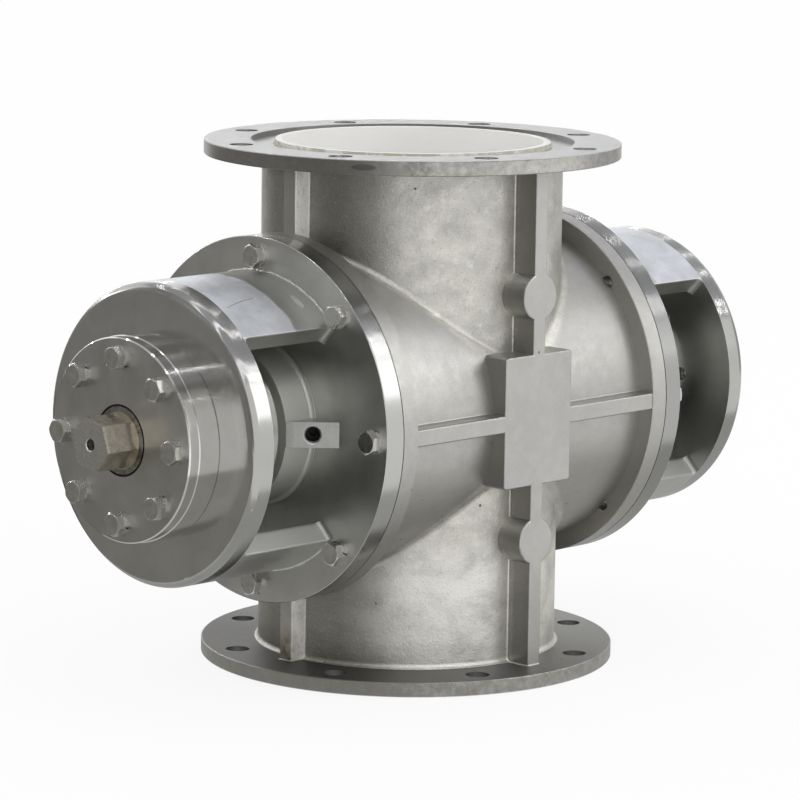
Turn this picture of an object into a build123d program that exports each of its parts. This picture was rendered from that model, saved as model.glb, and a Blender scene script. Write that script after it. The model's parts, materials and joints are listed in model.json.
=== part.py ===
from build123d import *
from math import cos, hypot, radians, sin, sqrt, tan
import os

# Rotary feed valve with ceramic-lined pipe and barrel, outboard bearings and a hexagon drive end.
# Millimetres, +Z up. The origin is the centre of the outlet flange's face, on the pipe's axis.
# X is the rotor's axis, with the drive end at -X. The port and the rib cross in view face -Y.
# Pieces of the two ends are placed by their distance from the middle of the rotor, measured outward.

os.makedirs("parts", exist_ok=True)

# Pipe, flanges and their ceramic lining
face_to_face = 400.0
throat_radius = 100.0
pipe_lining_thickness = 5.5
pipe_wall = 10.0
pipe_flange_thickness = 11.0
flange_bolt_offset = 24.5
flange_edge_distance = 20.0
flange_hole_radius = 9.0
flange_hole_count = 8
flange_recess_depth = 4.0
flange_recess_width = 18.5
flange_root_fillet = 4.0
cheek_height = 62.0
cheek_inset = 30.0

# Barrel, its lining and the rotor that turns in it
pocket_overrun = 29.5
rotor_overrun = 6.0
tip_clearance = 0.5
end_clearance = 0.5
barrel_lining_thickness = 10.0
barrel_wall = 7.75
lining_fit = 0.25
wear_plate_thickness = 8.0
crease_fillet = 5.0

# Casing ends and their covers
end_flange_edge = 13.5
end_flange_thickness = 14.6
end_bolt_edge = 14.0
end_bolt_count = 8
gasket_thickness = 0.8
gasket_set_back = 1.6
gasket_inner_step = 3.75
spigot_length = 5.6
spigot_clearance = 0.15
cover_plate_thickness = 16.6
tap_break_out = 3.0

# Rib cross, pads and plate on the casing's sides
rib_width = 13.0
rib_stand = 21.5
side_rib_stand = 14.5
pad_radius = 18.0
pad_offset = 93.0
plate_width = 72.0
plate_height = 100.0
plate_corner = 3.0
cast_edge = 1.5
edge_break = 0.6

# Yoke that carries the bearing
yoke_bolt_gap = 11.5
yoke_wall = 16.5
window_length = 88.5
window_half_angle = 45.0
yoke_disc_thickness = 19.0
yoke_disc_fillet = 7.0
window_fillet = 5.0

# Stuffing box, packing and gland
packing_width = 12.0
packing_thickness = 8.0
packing_count = 4
lantern_width = 8.0
box_floor = 3.0
box_wall = 16.5
box_length = 27.5
gland_gap = 7.5
gland_flange_thickness = 12.0
gland_stud_radius = 4.0
gland_stud_circle = 52.0
gland_stud_depth = 16.0
gland_nut_width = 13.0
gland_nut_height = 6.5
gland_thread_stand = 3.5
shaft_clearance = 0.3

# Purge port on a boss cut at 45 degrees
port_boss_height = 19.0
port_tap_radius = 5.9
port_mouth_radius = 6.9
port_tap_depth = 12.0
port_drill_radius = 3.0

# Bearings
journal_radius = 27.5
bearing_outer_radius = 50.0
bearing_width = 21.0
ball_radius = 7.144
ball_count = 10
race_gap = 0.06
race_shoulder_share = 0.68
cage_share = 0.35
cage_rim = 1.8
bearing_inset = 8.5
housing_bolt_offset = 11.0
housing_edge = 15.0
housing_wall = 4.0
housing_flange_thickness = 19.0
housing_nose = 9.5
bearing_cover_thickness = 9.0
bearing_cover_step = 0.6
bearing_cover_chamfer = 1.0
cover_lip = 3.0
cover_hole_gap = 1.6
seal_width = 10.0
seal_inset = 2.0
seal_step = 5.0
cover_seal_width = 8.0
cover_seal_section = 7.5
seal_touch = 0.05
circlip_thickness = 2.0
circlip_groove_depth = 1.1
circlip_stand = 3.2
housing_bolt_count = 8
fit_gap = 0.05

# Rotor shaft
shaft_shoulder = 4.5
shaft_step = 2.5
hub_seat_step = 3.0
hex_across_flats = 35.0
hex_length = 28.3
hex_stand = 0.5
hex_turn = 49.2
shaft_tap_radius = 4.25
shaft_tap_depth = 22.0
shaft_chamfer = 1.5

# Rotor hub, vanes and their wear tips
hub_wall = 11.0
vane_count = 8
vane_thickness = 8.0
vane_root = 4.0
vane_set_back = 5.0
tip_thickness = 5.0
tip_height = 22.0
tip_screws_per_vane = 3
tip_screw_radius = 3.0
tip_screw_head_width = 10.0
tip_screw_head_height = 4.0
key_width = 20.0
key_height = 12.0
key_length = 110.0
key_gap = 0.1

# Metric fasteners of both bolt circles
bolt_radius = 5.0
bolt_hole_radius = 5.5
tapped_gap = 0.1
bolt_head_width = 16.0
bolt_head_height = 6.4
bolt_head_bevel = 30.0
bolt_top_share = 0.95
bolt_tip_share = 0.18
end_bolt_length = 28.0
housing_bolt_length = 40.0
washer_radius = 9.0
washer_thickness = 2.2
washer_split = 1.4

# Sizes that follow
axis_height = face_to_face / 2
pipe_lining_radius = throat_radius + pipe_lining_thickness
pipe_bore_radius = pipe_lining_radius + lining_fit
pipe_radius = pipe_lining_radius + pipe_wall
flange_circle_radius = pipe_radius + flange_bolt_offset
flange_radius = flange_circle_radius + flange_edge_distance
flange_recess_radius = pipe_lining_radius + flange_recess_width
flange_hole_phase = 180.0 / flange_hole_count

rotor_radius = throat_radius + rotor_overrun
rotor_half_length = throat_radius + pocket_overrun
barrel_lining_bore = rotor_radius + tip_clearance
barrel_lining_radius = barrel_lining_bore + barrel_lining_thickness
barrel_bore_radius = barrel_lining_radius + lining_fit
barrel_radius = barrel_bore_radius + barrel_wall
barrel_lining_end = rotor_half_length + end_clearance
wear_plate_end = barrel_lining_end + wear_plate_thickness

casing_end = wear_plate_end + spigot_length
end_flange_radius = barrel_radius + end_flange_edge
end_circle_radius = end_flange_radius - end_bolt_edge
end_flange_back = casing_end - end_flange_thickness
cover_start = casing_end + gasket_thickness
cover_face = cover_start + cover_plate_thickness
tap_end = end_flange_back - tap_break_out

rib_face = pipe_radius + rib_stand
side_rib_face = pipe_radius + side_rib_stand

shaft_radius = journal_radius + shaft_shoulder
seal_journal_radius = journal_radius - shaft_step
hub_seat_radius = shaft_radius + hub_seat_step
box_bore_radius = shaft_radius + packing_width
box_radius = box_bore_radius + box_wall
box_floor_end = wear_plate_end + box_floor
lantern_end = box_floor_end + lantern_width
packing_end = lantern_end + packing_count * packing_thickness
box_face = cover_face + box_length
gland_face = box_face + gland_gap
gland_back = gland_face + gland_flange_thickness
gland_nose_end = packing_end

yoke_radius = end_circle_radius - yoke_bolt_gap
yoke_inner_radius = yoke_radius - yoke_wall
disc_back = cover_face + window_length
disc_face = disc_back + yoke_disc_thickness

housing_face = disc_face + housing_flange_thickness
housing_radius = bearing_outer_radius + housing_bolt_offset + housing_edge
housing_circle_radius = bearing_outer_radius + housing_bolt_offset
housing_spigot_radius = bearing_outer_radius + housing_wall
housing_nose_end = disc_back - housing_nose
bearing_end = housing_face - bearing_inset
bearing_start = bearing_end - bearing_width
seal_radius = bearing_outer_radius - seal_step
seal_start = housing_nose_end + seal_inset
cover_end = housing_face + bearing_cover_thickness
cover_hole_radius = seal_journal_radius + cover_hole_gap
cover_seal_radius = seal_journal_radius + cover_seal_section
cover_seal_end = cover_end - cover_lip
cover_seal_start = cover_seal_end - cover_seal_width
circlip_start = bearing_end + fit_gap
circlip_end = circlip_start + circlip_thickness
journal_end = circlip_end + circlip_groove_depth * 2
hex_start = cover_end + hex_stand
hex_end = hex_start + hex_length

bearing_pitch_radius = (journal_radius + bearing_outer_radius) / 2
bearing_middle = (bearing_start + bearing_end) / 2
race_inner_radius = bearing_pitch_radius - ball_radius * race_shoulder_share
race_outer_radius = bearing_pitch_radius + ball_radius * race_shoulder_share
cage_inner_radius = bearing_pitch_radius - ball_radius * cage_share
cage_outer_radius = bearing_pitch_radius + ball_radius * cage_share
cage_half_width = ball_radius + cage_rim

hub_bore_radius = hub_seat_radius + fit_gap
hub_radius = hub_seat_radius + hub_wall
vane_outer_radius = rotor_radius - vane_set_back
vane_phase = 180.0 / vane_count
tip_inner_radius = rotor_radius - tip_height

DRIVE = -1
TAIL = 1
ends = {"drive": DRIVE, "tail": TAIL}


def outward(side, distance):
    """The plane square to the rotor's axis at a distance from the middle, facing away from it."""
    return Plane(origin=(side * distance, 0, axis_height), x_dir=(0, 1, 0), z_dir=(side, 0, 0))


def ring(side, start, stop, inner_radius, outer_radius):
    """A plain ring about the rotor's axis between two distances from the middle."""
    with BuildPart() as piece:
        with BuildSketch(outward(side, start)):
            Circle(outer_radius)
            Circle(inner_radius, mode=Mode.SUBTRACT)
        extrude(amount=stop - start)
    return piece


def at_distance(side, distance, reach=0.02):
    """A filter for the edges whose middle lies at a distance from the middle of the rotor."""
    return lambda edge: abs(edge.center().X - side * distance) < reach


def hexagon_bolt(shank_radius, length, head_width, head_height):
    """One bolt with its seat at Z = 0, the head above and the shank below."""
    top_radius = head_width / 2 * bolt_top_share
    corner_radius = head_width / 2 / cos(radians(30))
    bevel_drop = (corner_radius - top_radius) * tan(radians(bolt_head_bevel))
    with BuildPart() as bolt:
        with BuildSketch():
            RegularPolygon(radius=corner_radius, side_count=6)
        extrude(amount=head_height)
        with BuildSketch(Plane.XZ):
            with BuildLine():
                Polyline(
                    (0, 0),
                    (corner_radius, 0),
                    (corner_radius, head_height - bevel_drop),
                    (top_radius, head_height),
                    (0, head_height),
                    close=True,
                )
            make_face()
        revolve(axis=Axis.Z, mode=Mode.INTERSECT)
        with BuildSketch():
            Circle(shank_radius)
        extrude(amount=-length)
        tip = bolt.edges().filter_by(GeomType.CIRCLE).sort_by(Axis.Z)[0]
        chamfer(tip, length=shank_radius * bolt_tip_share)
    return bolt


def spring_washer():
    """One split washer that lies on Z = 0."""
    with BuildPart() as washer:
        with BuildSketch():
            Circle(washer_radius)
            Circle(bolt_radius + fit_gap, mode=Mode.SUBTRACT)
        extrude(amount=washer_thickness)
        with BuildSketch(Plane.YZ):
            with BuildLine():
                Polyline(
                    (-washer_split, 0),
                    (0, 0),
                    (washer_split, washer_thickness),
                    (0, washer_thickness),
                    close=True,
                )
            make_face()
        extrude(amount=washer_radius + 1, mode=Mode.SUBTRACT)
    return washer


def on_circle(side, distance, radius, count, turn, phase=0.0):
    """Places on a circle about the rotor's axis, each turned a little further than the one before."""
    face = outward(side, distance)
    places = []
    for index in range(count):
        angle = phase + 360.0 * index / count
        place = Location((radius * cos(radians(angle)), radius * sin(radians(angle)), 0), (0, 0, turn * index))
        places.append(Location(face) * place)
    return places


def rib_cross(side):
    """Rib cross of the casing's front or back, with its two pads and its plate, rounded at the face."""
    with BuildPart() as cross:
        face = Plane(origin=(0, side * rib_face, axis_height), x_dir=(1, 0, 0), z_dir=(0, side, 0))
        with BuildSketch(face):
            Rectangle(rib_width, face_to_face - pipe_flange_thickness)
            Rectangle(2 * end_flange_back + end_flange_thickness, rib_width)
            RectangleRounded(plate_width, plate_height, plate_corner)
            with Locations((0, pad_offset), (0, -pad_offset)):
                Circle(pad_radius)
        extrude(amount=-(rib_face - pipe_radius / 2))
        rim = cross.edges().filter_by(lambda edge: abs(edge.center().Y - side * rib_face) < 0.01)
        fillet(rim, radius=cast_edge)
    return cross


def end_rib(side):
    """Upright rib on the side of the pipe that faces an end cover."""
    with BuildPart() as rib:
        face = Plane(origin=(side * side_rib_face, 0, axis_height), x_dir=(0, 1, 0), z_dir=(side, 0, 0))
        with BuildSketch(face):
            Rectangle(rib_width, face_to_face - pipe_flange_thickness)
        extrude(amount=-(side_rib_face - pipe_radius / 2))
        rim = rib.edges().filter_by(Axis.Z)
        fillet(rim.sort_by(Axis.X)[-2:] if side == TAIL else rim.sort_by(Axis.X)[:2], radius=cast_edge)
    return rib


def is_rib_root(edge):
    """Whether a straight edge is where one side of a rib meets the pipe or the barrel."""
    middle = edge.center()
    height = abs(middle.Z - axis_height)
    half_rib = rib_width / 2
    on_pipe = abs(hypot(middle.X, middle.Y) - pipe_radius) < 0.01
    on_barrel = abs(hypot(middle.Y, height) - barrel_radius) < 0.01
    upright = abs(abs(middle.X) - half_rib) < 0.01 or abs(abs(middle.Y) - half_rib) < 0.01
    level = abs(height - half_rib) < 0.01
    return (on_pipe and upright) or (on_barrel and level)


# Casing, one casting: pipe and barrel that cross, four flanges, rib crosses and plates
with BuildPart() as casing:
    with BuildSketch(Plane.XY):
        Circle(pipe_radius)
    extrude(amount=face_to_face)
    with BuildSketch(outward(DRIVE, casing_end)):
        Circle(barrel_radius)
    extrude(amount=-2 * casing_end)
    crease = casing.edges().filter_by(
        lambda edge: abs(edge.center().X) < pipe_radius and edge.geom_type != GeomType.CIRCLE
        and edge.geom_type != GeomType.LINE
    )
    fillet(crease, radius=crease_fillet)
    for plane, depth in ((Plane.XY, 1), (Plane.XY.offset(face_to_face), -1)):
        with BuildSketch(plane):
            Circle(flange_radius)
        extrude(amount=depth * pipe_flange_thickness)
    rims = casing.edges().filter_by(GeomType.CIRCLE).filter_by(
        lambda edge: abs(edge.radius - flange_radius) < 0.01
    )
    chamfer(rims, length=edge_break)
    root = casing.edges().filter_by(GeomType.CIRCLE).filter_by(
        lambda edge: abs(edge.radius - pipe_radius) < 0.01
        and abs(abs(edge.center().Z - axis_height) - axis_height + pipe_flange_thickness) < 0.01
    )
    fillet(root, radius=flange_root_fillet)
    for side in ends.values():
        with BuildSketch(outward(side, end_flange_back)):
            Circle(end_flange_radius)
        extrude(amount=end_flange_thickness)
        back = casing.edges().filter_by(GeomType.CIRCLE).filter_by(at_distance(side, end_flange_back))
        chamfer(back.sort_by(SortBy.RADIUS)[-1], length=edge_break)
    for side in (-1, 1):
        add(rib_cross(side).part)
        add(end_rib(side).part)
    # Small cast radii where the straight ribs rise from the pipe and the barrel
    roots = [
        edge for edge in casing.edges().filter_by(GeomType.LINE)
        if edge.length > rib_width and is_rib_root(edge)
    ]
    fillet(roots, radius=cast_edge)
    # Bores of the pipe and the barrel, which hold the ceramic linings
    with BuildSketch(Plane.XY):
        Circle(pipe_bore_radius)
    extrude(amount=face_to_face, mode=Mode.SUBTRACT)
    with BuildSketch(outward(DRIVE, casing_end)):
        Circle(barrel_bore_radius)
    extrude(amount=-2 * casing_end, mode=Mode.SUBTRACT)
    # Recess in each pipe flange's face, around the end of the lining
    for plane, depth in ((Plane.XY, 1), (Plane.XY.offset(face_to_face), -1)):
        with BuildSketch(plane):
            Circle(flange_recess_radius)
        extrude(amount=depth * flange_recess_depth, mode=Mode.SUBTRACT)
        with BuildSketch(plane):
            with PolarLocations(flange_circle_radius, flange_hole_count, start_angle=flange_hole_phase):
                Circle(flange_hole_radius)
        extrude(amount=depth * pipe_flange_thickness, mode=Mode.SUBTRACT)
    # Tapped holes of the end covers, which break out a little beside the barrel
    for side in ends.values():
        with BuildSketch(outward(side, casing_end)):
            with PolarLocations(end_circle_radius, end_bolt_count):
                Circle(bolt_radius + tapped_gap)
        extrude(amount=tap_end - casing_end, mode=Mode.SUBTRACT)
casing.part.label = "casing"
export_step(casing.part, "parts/casing.step")


def pipe_lining(bottom, top, cheek_bottom, cheek_top):
    """Ceramic lining of one pipe leg. Its bore narrows in Y towards the rotor with two sloped cheeks."""
    half_throat = throat_radius - cheek_inset
    with BuildPart() as core:
        with BuildSketch(Plane.XY.offset(bottom)):
            Circle(throat_radius)
        extrude(amount=top - bottom)
        outside = throat_radius + 1
        with BuildSketch(Plane.YZ.offset(-outside)):
            with BuildLine():
                Polyline(
                    (-half_throat, bottom),
                    (half_throat, bottom),
                    (half_throat, cheek_bottom),
                    (outside, cheek_top),
                    (outside, top),
                    (-outside, top),
                    (-outside, cheek_top),
                    (-half_throat, cheek_bottom),
                    close=True,
                )
            make_face()
        extrude(amount=2 * outside, mode=Mode.INTERSECT)
    with BuildPart() as lining:
        with BuildSketch(Plane.XY.offset(bottom)):
            Circle(pipe_lining_radius)
        extrude(amount=top - bottom)
        add(core.part, mode=Mode.SUBTRACT)
        with BuildSketch(outward(DRIVE, casing_end)):
            Circle(barrel_lining_radius + lining_fit)
        extrude(amount=-2 * casing_end, mode=Mode.SUBTRACT)
    return lining


# The two pipe linings meet the barrel's lining on its outside
cheek_start = axis_height + sqrt(barrel_lining_radius ** 2 - (throat_radius - cheek_inset) ** 2)
inlet_lining = pipe_lining(axis_height, face_to_face, cheek_start, cheek_start + cheek_height)
inlet_lining.part.label = "inlet_lining"
export_step(inlet_lining.part, "parts/inlet_lining.step")

with BuildPart() as outlet_lining:
    add(inlet_lining.part)
    mirror(about=Plane.XY.offset(axis_height), mode=Mode.REPLACE)
outlet_lining.part.label = "outlet_lining"
export_step(outlet_lining.part, "parts/outlet_lining.step")

# Barrel lining with the throats that the pipe linings lead into
with BuildPart() as barrel_lining:
    with BuildSketch(outward(DRIVE, barrel_lining_end)):
        Circle(barrel_lining_radius)
        Circle(barrel_lining_bore, mode=Mode.SUBTRACT)
    extrude(amount=-2 * barrel_lining_end)
    with BuildSketch(Plane.XY):
        Circle(throat_radius)
        Rectangle(2 * throat_radius, 2 * (throat_radius - cheek_inset), mode=Mode.INTERSECT)
    extrude(amount=face_to_face, mode=Mode.SUBTRACT)
barrel_lining.part.label = "barrel_lining"
export_step(barrel_lining.part, "parts/barrel_lining.step")


def yoke_window(side, way):
    """The wedge-shaped space of one window, rounded where it meets the plate and the disc."""
    reach = 2 * yoke_radius
    spread = reach * tan(radians(window_half_angle))
    with BuildPart() as window:
        with BuildSketch(outward(side, cover_face)):
            with BuildLine():
                Polyline((0, 0), (way * reach, spread), (way * reach, -spread), close=True)
            make_face()
        extrude(amount=window_length)
        rims = [
            edge for edge in window.edges().filter_by(GeomType.LINE)
            if abs(edge.tangent_at(0).X) < 0.01 and abs(edge.tangent_at(0).Y) > 0.01
        ]
        fillet(rims, radius=window_fillet)
    return window


def yoke_arms(side):
    """The tube between cover plate and bearing disc, with its two windows cut."""
    with BuildPart() as arms:
        with BuildSketch(outward(side, cover_face)):
            Circle(yoke_radius)
            Circle(yoke_inner_radius, mode=Mode.SUBTRACT)
        extrude(amount=window_length)
        for way in (-1, 1):
            add(yoke_window(side, way).part, mode=Mode.SUBTRACT)
    return arms


def end_cover(side):
    """Cover, stuffing box, purge boss and bearing yoke of one end, in one casting."""
    with BuildPart() as cover:
        with BuildSketch(outward(side, cover_start)):
            Circle(end_flange_radius)
        extrude(amount=cover_plate_thickness)
        front = cover.edges().filter_by(GeomType.CIRCLE).filter_by(at_distance(side, cover_face))
        chamfer(front, length=edge_break)
        with BuildSketch(outward(side, wear_plate_end)):
            Circle(barrel_bore_radius - spigot_clearance)
        extrude(amount=cover_start - wear_plate_end)
        # Yoke: two arms, closed by the bearing disc
        add(yoke_arms(side).part)
        with BuildSketch(outward(side, disc_back)):
            Circle(yoke_radius)
        extrude(amount=yoke_disc_thickness)
        front = cover.edges().filter_by(GeomType.CIRCLE).filter_by(at_distance(side, disc_face))
        fillet(front, radius=yoke_disc_fillet)
        # Stuffing box and the purge boss, whose face looks 45 degrees outward
        with BuildSketch(outward(side, cover_face)):
            Circle(box_radius)
        extrude(amount=box_length)
        with BuildSketch(Plane.XY.offset(axis_height - port_boss_height / 2)):
            with BuildLine():
                Polyline(
                    (side * box_face, -box_radius),
                    (side * cover_face, -(box_radius + box_length)),
                    (side * cover_face, -box_bore_radius),
                    (side * box_face, -box_bore_radius),
                    close=True,
                )
            make_face()
        extrude(amount=port_boss_height)
        # Bores along the shaft
        with BuildSketch(outward(side, box_floor_end)):
            Circle(box_bore_radius)
        extrude(amount=box_face - box_floor_end, mode=Mode.SUBTRACT)
        with BuildSketch(outward(side, wear_plate_end)):
            Circle(shaft_radius + shaft_clearance)
        extrude(amount=box_floor, mode=Mode.SUBTRACT)
        with BuildSketch(outward(side, disc_back)):
            Circle(housing_spigot_radius + fit_gap)
        extrude(amount=yoke_disc_thickness, mode=Mode.SUBTRACT)
        # Bolt holes of the cover, tapped holes of the bearing housing and of the gland
        with BuildSketch(outward(side, cover_start)):
            with PolarLocations(end_circle_radius, end_bolt_count):
                Circle(bolt_hole_radius)
        extrude(amount=cover_plate_thickness, mode=Mode.SUBTRACT)
        with BuildSketch(outward(side, disc_back)):
            with PolarLocations(housing_circle_radius, housing_bolt_count):
                Circle(bolt_radius + tapped_gap)
        extrude(amount=yoke_disc_thickness, mode=Mode.SUBTRACT)
        with BuildSketch(outward(side, box_face)):
            with Locations((0, gland_stud_circle), (0, -gland_stud_circle)):
                Circle(gland_stud_radius + tapped_gap)
        extrude(amount=-gland_stud_depth, mode=Mode.SUBTRACT)
        # Purge port, drilled square to the boss's face into the stuffing box
        middle = (side * (cover_face + box_length / 2), -(box_radius + box_length / 2), axis_height)
        mouth = Plane(origin=middle, x_dir=(0, 0, 1), z_dir=(side / sqrt(2), -1 / sqrt(2), 0))
        with Locations(mouth):
            CounterSinkHole(port_tap_radius, port_mouth_radius, depth=port_tap_depth, counter_sink_angle=90)
            Hole(port_drill_radius, depth=(box_radius + box_length / 2 - box_bore_radius) * sqrt(2) + 1)
    return cover


def bearing_balls(side):
    """The balls of one bearing, on their pitch circle."""
    with BuildPart() as balls:
        with Locations(on_circle(side, bearing_middle, bearing_pitch_radius, ball_count, 0)):
            Sphere(ball_radius)
    return balls


def raceway(side, radius):
    """The torus that a race is ground to."""
    with BuildPart() as groove:
        with Locations(outward(side, bearing_middle)):
            Torus(bearing_pitch_radius, radius)
    return groove


for end, side in ends.items():
    cover = end_cover(side)
    cover.part.label = f"{end}_end_cover"
    export_step(cover.part, f"parts/{end}_end_cover.step")

    with BuildPart() as gasket:
        gasket_bore = barrel_bore_radius + gasket_inner_step
        add(ring(side, casing_end, cover_start, gasket_bore, end_flange_radius - gasket_set_back).part)
        with BuildSketch(outward(side, casing_end)):
            with PolarLocations(end_circle_radius, end_bolt_count):
                Circle(bolt_hole_radius)
        extrude(amount=gasket_thickness, mode=Mode.SUBTRACT)
    gasket.part.label = f"{end}_end_gasket"
    export_step(gasket.part, f"parts/{end}_end_gasket.step")

    wear_plate = ring(
        side, barrel_lining_end, wear_plate_end, shaft_radius + shaft_clearance, barrel_lining_radius
    )
    wear_plate.part.label = f"{end}_wear_plate"
    export_step(wear_plate.part, f"parts/{end}_wear_plate.step")

    end_bolt = hexagon_bolt(bolt_radius, end_bolt_length, bolt_head_width, bolt_head_height)
    with BuildPart() as end_bolts:
        seat = cover_face + washer_thickness
        with Locations(on_circle(side, seat, end_circle_radius, end_bolt_count, 37)):
            add(end_bolt.part)
    end_bolts.part.label = f"{end}_end_bolts"
    export_step(end_bolts.part, f"parts/{end}_end_bolts.step")

    washer = spring_washer()
    with BuildPart() as end_washers:
        with Locations(on_circle(side, cover_face, end_circle_radius, end_bolt_count, 61)):
            add(washer.part)
    end_washers.part.label = f"{end}_end_washers"
    export_step(end_washers.part, f"parts/{end}_end_washers.step")

    # Bearing housing: flange on the yoke's disc, spigot through it, seats for the bearing and its seal
    with BuildPart() as housing:
        with BuildSketch(outward(side, disc_face)):
            Circle(housing_radius)
        extrude(amount=housing_flange_thickness)
        chamfer(housing.edges().filter_by(GeomType.CIRCLE), length=edge_break)
        with BuildSketch(outward(side, housing_nose_end)):
            Circle(housing_spigot_radius)
        extrude(amount=disc_face - housing_nose_end)
        with BuildSketch(outward(side, housing_nose_end)):
            Circle(seal_radius + fit_gap)
        extrude(amount=bearing_start - housing_nose_end, mode=Mode.SUBTRACT)
        with BuildSketch(outward(side, bearing_start)):
            Circle(bearing_outer_radius + fit_gap)
        extrude(amount=housing_face - bearing_start, mode=Mode.SUBTRACT)
        with BuildSketch(outward(side, disc_face)):
            with PolarLocations(housing_circle_radius, housing_bolt_count):
                Circle(bolt_hole_radius)
        extrude(amount=housing_flange_thickness, mode=Mode.SUBTRACT)
    housing.part.label = f"{end}_bearing_housing"
    export_step(housing.part, f"parts/{end}_bearing_housing.step")

    # Bearing cover: open for the shaft at the drive end, blind at the tail end
    with BuildPart() as bearing_cover:
        with BuildSketch(outward(side, housing_face)):
            Circle(housing_radius - bearing_cover_step)
        extrude(amount=bearing_cover_thickness)
        with BuildSketch(outward(side, bearing_end)):
            Circle(bearing_outer_radius - fit_gap)
        extrude(amount=housing_face - bearing_end)
        with BuildSketch(outward(side, bearing_end)):
            Circle(cover_seal_radius + fit_gap)
        extrude(amount=cover_seal_end - bearing_end, mode=Mode.SUBTRACT)
        if side == DRIVE:
            with BuildSketch(outward(side, cover_seal_end)):
                Circle(cover_hole_radius)
            extrude(amount=cover_lip, mode=Mode.SUBTRACT)
        with BuildSketch(outward(side, housing_face)):
            with PolarLocations(housing_circle_radius, housing_bolt_count):
                Circle(bolt_hole_radius)
        extrude(amount=bearing_cover_thickness, mode=Mode.SUBTRACT)
        rim = bearing_cover.edges().filter_by(GeomType.CIRCLE).filter_by(at_distance(side, cover_end))
        chamfer(rim.sort_by(SortBy.RADIUS)[-1], length=bearing_cover_chamfer)
    bearing_cover.part.label = f"{end}_bearing_cover"
    export_step(bearing_cover.part, f"parts/{end}_bearing_cover.step")

    housing_bolt = hexagon_bolt(bolt_radius, housing_bolt_length, bolt_head_width, bolt_head_height)
    with BuildPart() as cover_bolts:
        seat = cover_end + washer_thickness
        with Locations(on_circle(side, seat, housing_circle_radius, housing_bolt_count, 23)):
            add(housing_bolt.part)
    cover_bolts.part.label = f"{end}_cover_bolts"
    export_step(cover_bolts.part, f"parts/{end}_cover_bolts.step")

    with BuildPart() as cover_washers:
        with Locations(on_circle(side, cover_end, housing_circle_radius, housing_bolt_count, 83)):
            add(washer.part)
    cover_washers.part.label = f"{end}_cover_washers"
    export_step(cover_washers.part, f"parts/{end}_cover_washers.step")

    # Deep-groove ball bearing in four pieces
    with BuildPart() as outer_race:
        add(ring(side, bearing_start, bearing_end, race_outer_radius, bearing_outer_radius).part)
        add(raceway(side, ball_radius + race_gap).part, mode=Mode.SUBTRACT)
    outer_race.part.label = f"{end}_bearing_outer_ring"
    export_step(outer_race.part, f"parts/{end}_bearing_outer_ring.step")

    with BuildPart() as inner_race:
        add(ring(side, bearing_start, bearing_end, journal_radius + fit_gap, race_inner_radius).part)
        add(raceway(side, ball_radius + race_gap).part, mode=Mode.SUBTRACT)
    inner_race.part.label = f"{end}_bearing_inner_ring"
    export_step(inner_race.part, f"parts/{end}_bearing_inner_ring.step")

    balls = bearing_balls(side)
    balls.part.label = f"{end}_bearing_balls"
    export_step(balls.part, f"parts/{end}_bearing_balls.step")

    with BuildPart() as cage:
        cage_start = bearing_middle - cage_half_width
        add(ring(side, cage_start, cage_start + 2 * cage_half_width, cage_inner_radius, cage_outer_radius).part)
        for index in range(ball_count):
            angle = radians(360.0 * index / ball_count)
            pocket = Plane(
                origin=(side * bearing_middle, 0, axis_height), z_dir=(0, cos(angle), side * sin(angle))
            )
            with BuildSketch(pocket):
                Circle(ball_radius + race_gap)
            extrude(amount=bearing_outer_radius, mode=Mode.SUBTRACT)
    cage.part.label = f"{end}_bearing_cage"
    export_step(cage.part, f"parts/{end}_bearing_cage.step")

    with BuildPart() as circlip:
        circlip_bore = journal_radius - circlip_groove_depth + fit_gap
        add(ring(side, circlip_start, circlip_end, circlip_bore, journal_radius + circlip_stand).part)
        with BuildSketch(outward(side, circlip_start)):
            with Locations((0, -journal_radius)):
                Rectangle(journal_radius / 3, journal_radius / 2)
        extrude(amount=circlip_thickness, mode=Mode.SUBTRACT)
    circlip.part.label = f"{end}_shaft_circlip"
    export_step(circlip.part, f"parts/{end}_shaft_circlip.step")

    inner_seal = ring(
        side, seal_start, seal_start + seal_width, shaft_radius + seal_touch, seal_radius
    )
    inner_seal.part.label = f"{end}_housing_seal"
    export_step(inner_seal.part, f"parts/{end}_housing_seal.step")

    # Packing, lantern ring and gland of the stuffing box
    with BuildPart() as packing:
        for index in range(packing_count):
            with BuildSketch(outward(side, lantern_end + index * packing_thickness)):
                Circle(box_bore_radius - fit_gap)
                Circle(shaft_radius + seal_touch, mode=Mode.SUBTRACT)
            extrude(amount=packing_thickness - fit_gap)
    packing.part.label = f"{end}_packing_rings"
    export_step(packing.part, f"parts/{end}_packing_rings.step")

    with BuildPart() as lantern:
        add(ring(side, box_floor_end, lantern_end, shaft_radius + shaft_clearance, box_bore_radius - fit_gap).part)
        with BuildSketch(outward(side, box_floor_end + lantern_width / 4)):
            Circle(box_bore_radius + 1)
            Circle(box_bore_radius - packing_width / 4, mode=Mode.SUBTRACT)
        extrude(amount=lantern_width / 2, mode=Mode.SUBTRACT)
        for angle in (0, 90):
            bore_axis = Plane(
                origin=(side * (box_floor_end + lantern_end) / 2, 0, axis_height),
                z_dir=(0, cos(radians(angle)), sin(radians(angle))),
            )
            with BuildSketch(bore_axis):
                Circle(lantern_width / 8)
            extrude(amount=box_bore_radius, both=True, mode=Mode.SUBTRACT)
    lantern.part.label = f"{end}_lantern_ring"
    export_step(lantern.part, f"parts/{end}_lantern_ring.step")

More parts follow.
